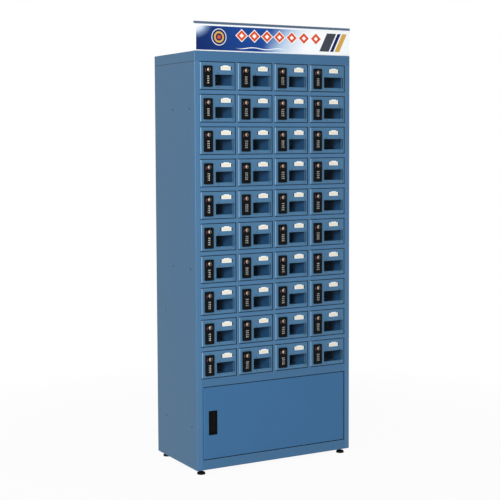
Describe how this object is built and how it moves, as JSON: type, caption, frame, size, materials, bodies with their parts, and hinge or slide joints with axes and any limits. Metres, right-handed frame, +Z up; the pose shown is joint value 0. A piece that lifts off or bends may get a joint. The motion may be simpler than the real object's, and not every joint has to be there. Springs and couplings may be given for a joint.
{
  "type": "phone locker cabinet",
  "caption": "Tall steel cabinet with a grid of small windowed doors, each with a combination lock, over a wide storage compartment, under a header sign.",
  "frame": {"origin": "middle of the bounding box, on the floor under the levelling feet", "axes": "+X to the right, +Y from the front to the back, +Z up; the doors face -Y"},
  "size_m": [0.776, 0.419, 1.925],
  "materials": {
    "cabinet_paint": "fine satin powder coat, steel blue",
    "door_paint": "fine satin powder coat, steel blue",
    "pin_steel": "plain drawn steel",
    "foot_black": "moulded, matt",
    "sign_print": "printed sheet, satin",
    "rail_slate": "satin coat, slate blue",
    "pull_black": "moulded, fine texture",
    "lock_black": "cast case with a fine black coat",
    "knob_metal": "satin nickel",
    "dial_black": "moulded, light gloss with white figures",
    "window_clear": "clear moulded pane, lightly scuffed",
    "plate_white": "white moulded plate with a cream card"
  },
  "bodies": {
    "cabinet": {"side_panel_left": "cabinet_paint", "side_panel_right": "cabinet_paint", "back_panel": "cabinet_paint", "base_pan": "cabinet_paint", "top_cover": "cabinet_paint", "storage_frame": "cabinet_paint", "shelf_trays": "cabinet_paint", "column_dividers": "cabinet_paint", "hinge_pins": "pin_steel", "levelling_feet": "foot_black", "sign_panel": "sign_print", "sign_rail": "rail_slate"},
    "storage_door": {"storage_door": "door_paint", "storage_pull": "pull_black"},
    "door_01": {"door_01": "door_paint", "lock_case": "lock_black"},
    "lock_knob": {"lock_knob": "knob_metal"},
    "dial_1": {"dial_1": "dial_black"},
    "dial_2": {"dial_2": "dial_black"},
    "dial_3": {"dial_3": "dial_black"},
    "dial_4": {"dial_4": "dial_black"},
    "door_02": {"door_02": "door_paint"},
    "door_03": {"door_03": "door_paint"},
    "door_04": {"door_04": "door_paint"},
    "door_05": {"door_05": "door_paint"},
    "door_06": {"door_06": "door_paint"},
    "door_07": {"door_07": "door_paint"},
    "door_08": {"door_08": "door_paint"},
    "door_09": {"door_09": "door_paint"},
    "door_10": {"door_10": "door_paint"},
    "door_11": {"door_11": "door_paint"},
    "door_12": {"door_12": "door_paint"},
    "door_13": {"door_13": "door_paint"},
    "door_14": {"door_14": "door_paint"},
    "door_15": {"door_15": "door_paint"},
    "door_16": {"door_16": "door_paint"},
    "door_17": {"door_17": "door_paint"},
    "door_18": {"door_18": "door_paint"},
    "door_19": {"door_19": "door_paint"},
    "door_20": {"door_20": "door_paint"},
    "door_21": {"door_21": "door_paint"},
    "door_22": {"door_22": "door_paint"},
    "door_23": {"door_23": "door_paint"},
    "door_24": {"door_24": "door_paint"},
    "door_25": {"door_25": "door_paint"},
    "door_26": {"door_26": "door_paint"},
    "door_27": {"door_27": "door_paint"},
    "door_28": {"door_28": "door_paint"},
    "door_29": {"door_29": "door_paint"},
    "door_30": {"door_30": "door_paint"},
    "door_31": {"door_31": "door_paint"},
    "door_32": {"door_32": "door_paint"},
    "door_33": {"door_33": "door_paint"},
    "door_34": {"door_34": "door_paint"},
    "door_35": {"door_35": "door_paint"},
    "door_36": {"door_36": "door_paint"},
    "door_37": {"door_37": "door_paint"},
    "door_38": {"door_38": "door_paint"},
    "door_39": {"door_39": "door_paint"},
    "door_40": {"door_40": "door_paint"}
  },
  "joints": [
    {"name": "door_01_hinge", "type": "hinge", "parent": "cabinet", "child": "door_01", "pos_m": [-0.2011, -0.1827, 1.6999], "axis": [0, 0, 1], "range_deg": [0, 100]},
    {"name": "door_02_hinge", "type": "hinge", "parent": "cabinet", "child": "door_02", "pos_m": [-0.0201, -0.1827, 1.6999], "axis": [0, 0, 1], "range_deg": [0, 100]},
    {"name": "door_03_hinge", "type": "hinge", "parent": "cabinet", "child": "door_03", "pos_m": [0.1609, -0.1827, 1.6999], "axis": [0, 0, 1], "range_deg": [0, 100]},
    {"name": "door_04_hinge", "type": "hinge", "parent": "cabinet", "child": "door_04", "pos_m": [0.3539, -0.1827, 1.6999], "axis": [0, 0, 1], "range_deg": [0, 100]},
    {"name": "door_05_hinge", "type": "hinge", "parent": "cabinet", "child": "door_05", "pos_m": [-0.2011, -0.1827, 1.5638], "axis": [0, 0, 1], "range_deg": [0, 100]},
    {"name": "door_06_hinge", "type": "hinge", "parent": "cabinet", "child": "door_06", "pos_m": [-0.0201, -0.1827, 1.5638], "axis": [0, 0, 1], "range_deg": [0, 100]},
    {"name": "door_07_hinge", "type": "hinge", "parent": "cabinet", "child": "door_07", "pos_m": [0.1609, -0.1827, 1.5638], "axis": [0, 0, 1], "range_deg": [0, 100]},
    {"name": "door_08_hinge", "type": "hinge", "parent": "cabinet", "child": "door_08", "pos_m": [0.3539, -0.1827, 1.5638], "axis": [0, 0, 1], "range_deg": [0, 100]},
    {"name": "door_09_hinge", "type": "hinge", "parent": "cabinet", "child": "door_09", "pos_m": [-0.2011, -0.1827, 1.4277], "axis": [0, 0, 1], "range_deg": [0, 100]},
    {"name": "door_10_hinge", "type": "hinge", "parent": "cabinet", "child": "door_10", "pos_m": [-0.0201, -0.1827, 1.4277], "axis": [0, 0, 1], "range_deg": [0, 100]},
    {"name": "door_11_hinge", "type": "hinge", "parent": "cabinet", "child": "door_11", "pos_m": [0.1609, -0.1827, 1.4277], "axis": [0, 0, 1], "range_deg": [0, 100]},
    {"name": "door_12_hinge", "type": "hinge", "parent": "cabinet", "child": "door_12", "pos_m": [0.3539, -0.1827, 1.4277], "axis": [0, 0, 1], "range_deg": [0, 100]},
    {"name": "door_13_hinge", "type": "hinge", "parent": "cabinet", "child": "door_13", "pos_m": [-0.2011, -0.1827, 1.2916], "axis": [0, 0, 1], "range_deg": [0, 100]},
    {"name": "door_14_hinge", "type": "hinge", "parent": "cabinet", "child": "door_14", "pos_m": [-0.0201, -0.1827, 1.2916], "axis": [0, 0, 1], "range_deg": [0, 100]},
    {"name": "door_15_hinge", "type": "hinge", "parent": "cabinet", "child": "door_15", "pos_m": [0.1609, -0.1827, 1.2916], "axis": [0, 0, 1], "range_deg": [0, 100]},
    {"name": "door_16_hinge", "type": "hinge", "parent": "cabinet", "child": "door_16", "pos_m": [0.3539, -0.1827, 1.2916], "axis": [0, 0, 1], "range_deg": [0, 100]},
    {"name": "door_17_hinge", "type": "hinge", "parent": "cabinet", "child": "door_17", "pos_m": [-0.2011, -0.1827, 1.1555], "axis": [0, 0, 1], "range_deg": [0, 100]},
    {"name": "door_18_hinge", "type": "hinge", "parent": "cabinet", "child": "door_18", "pos_m": [-0.0201, -0.1827, 1.1555], "axis": [0, 0, 1], "range_deg": [0, 100]},
    {"name": "door_19_hinge", "type": "hinge", "parent": "cabinet", "child": "door_19", "pos_m": [0.1609, -0.1827, 1.1555], "axis": [0, 0, 1], "range_deg": [0, 100]},
    {"name": "door_20_hinge", "type": "hinge", "parent": "cabinet", "child": "door_20", "pos_m": [0.3539, -0.1827, 1.1555], "axis": [0, 0, 1], "range_deg": [0, 100]},
    {"name": "door_21_hinge", "type": "hinge", "parent": "cabinet", "child": "door_21", "pos_m": [-0.2011, -0.1827, 1.0194], "axis": [0, 0, 1], "range_deg": [0, 100]},
    {"name": "door_22_hinge", "type": "hinge", "parent": "cabinet", "child": "door_22", "pos_m": [-0.0201, -0.1827, 1.0194], "axis": [0, 0, 1], "range_deg": [0, 100]},
    {"name": "door_23_hinge", "type": "hinge", "parent": "cabinet", "child": "door_23", "pos_m": [0.1609, -0.1827, 1.0194], "axis": [0, 0, 1], "range_deg": [0, 100]},
    {"name": "door_24_hinge", "type": "hinge", "parent": "cabinet", "child": "door_24", "pos_m": [0.3539, -0.1827, 1.0194], "axis": [0, 0, 1], "range_deg": [0, 100]},
    {"name": "door_25_hinge", "type": "hinge", "parent": "cabinet", "child": "door_25", "pos_m": [-0.2011, -0.1827, 0.8833], "axis": [0, 0, 1], "range_deg": [0, 100]},
    {"name": "door_26_hinge", "type": "hinge", "parent": "cabinet", "child": "door_26", "pos_m": [-0.0201, -0.1827, 0.8833], "axis": [0, 0, 1], "range_deg": [0, 100]},
    {"name": "door_27_hinge", "type": "hinge", "parent": "cabinet", "child": "door_27", "pos_m": [0.1609, -0.1827, 0.8833], "axis": [0, 0, 1], "range_deg": [0, 100]},
    {"name": "door_28_hinge", "type": "hinge", "parent": "cabinet", "child": "door_28", "pos_m": [0.3539, -0.1827, 0.8833], "axis": [0, 0, 1], "range_deg": [0, 100]},
    {"name": "door_29_hinge", "type": "hinge", "parent": "cabinet", "child": "door_29", "pos_m": [-0.2011, -0.1827, 0.7472], "axis": [0, 0, 1], "range_deg": [0, 100]},
    {"name": "door_30_hinge", "type": "hinge", "parent": "cabinet", "child": "door_30", "pos_m": [-0.0201, -0.1827, 0.7472], "axis": [0, 0, 1], "range_deg": [0, 100]},
    {"name": "door_31_hinge", "type": "hinge", "parent": "cabinet", "child": "door_31", "pos_m": [0.1609, -0.1827, 0.7472], "axis": [0, 0, 1], "range_deg": [0, 100]},
    {"name": "door_32_hinge", "type": "hinge", "parent": "cabinet", "child": "door_32", "pos_m": [0.3539, -0.1827, 0.7472], "axis": [0, 0, 1], "range_deg": [0, 100]},
    {"name": "door_33_hinge", "type": "hinge", "parent": "cabinet", "child": "door_33", "pos_m": [-0.2011, -0.1827, 0.6111], "axis": [0, 0, 1], "range_deg": [0, 100]},
    {"name": "door_34_hinge", "type": "hinge", "parent": "cabinet", "child": "door_34", "pos_m": [-0.0201, -0.1827, 0.6111], "axis": [0, 0, 1], "range_deg": [0, 100]},
    {"name": "door_35_hinge", "type": "hinge", "parent": "cabinet", "child": "door_35", "pos_m": [0.1609, -0.1827, 0.6111], "axis": [0, 0, 1], "range_deg": [0, 100]},
    {"name": "door_36_hinge", "type": "hinge", "parent": "cabinet", "child": "door_36", "pos_m": [0.3539, -0.1827, 0.6111], "axis": [0, 0, 1], "range_deg": [0, 100]},
    {"name": "door_37_hinge", "type": "hinge", "parent": "cabinet", "child": "door_37", "pos_m": [-0.2011, -0.1827, 0.475], "axis": [0, 0, 1], "range_deg": [0, 100]},
    {"name": "door_38_hinge", "type": "hinge", "parent": "cabinet", "child": "door_38", "pos_m": [-0.0201, -0.1827, 0.475], "axis": [0, 0, 1], "range_deg": [0, 100]},
    {"name": "door_39_hinge", "type": "hinge", "parent": "cabinet", "child": "door_39", "pos_m": [0.1609, -0.1827, 0.475], "axis": [0, 0, 1], "range_deg": [0, 100]},
    {"name": "door_40_hinge", "type": "hinge", "parent": "cabinet", "child": "door_40", "pos_m": [0.3539, -0.1827, 0.475], "axis": [0, 0, 1], "range_deg": [0, 100]},
    {"name": "storage_door_hinge", "type": "hinge", "parent": "cabinet", "child": "storage_door", "pos_m": [0.3539, -0.1827, 0.2228], "axis": [0, 0, 1], "range_deg": [0, 100]},
    {"name": "lock_knob_turn", "type": "hinge", "parent": "door_01", "child": "lock_knob", "pos_m": [-0.3269, -0.1865, 1.7244], "axis": [0, 1, 0], "range_deg": [0, 90]},
    {"name": "dial_1_turn", "type": "hinge", "parent": "door_01", "child": "dial_1", "pos_m": [-0.3269, -0.1857, 1.6971], "axis": [0, 0, 1], "continuous": true},
    {"name": "dial_2_turn", "type": "hinge", "parent": "door_01", "child": "dial_2", "pos_m": [-0.3269, -0.1857, 1.68825], "axis": [0, 0, 1], "continuous": true},
    {"name": "dial_3_turn", "type": "hinge", "parent": "door_01", "child": "dial_3", "pos_m": [-0.3269, -0.1857, 1.6794], "axis": [0, 0, 1], "continuous": true},
    {"name": "dial_4_turn", "type": "hinge", "parent": "door_01", "child": "dial_4", "pos_m": [-0.3269, -0.1857, 1.67055], "axis": [0, 0, 1], "continuous": true}
  ]
}
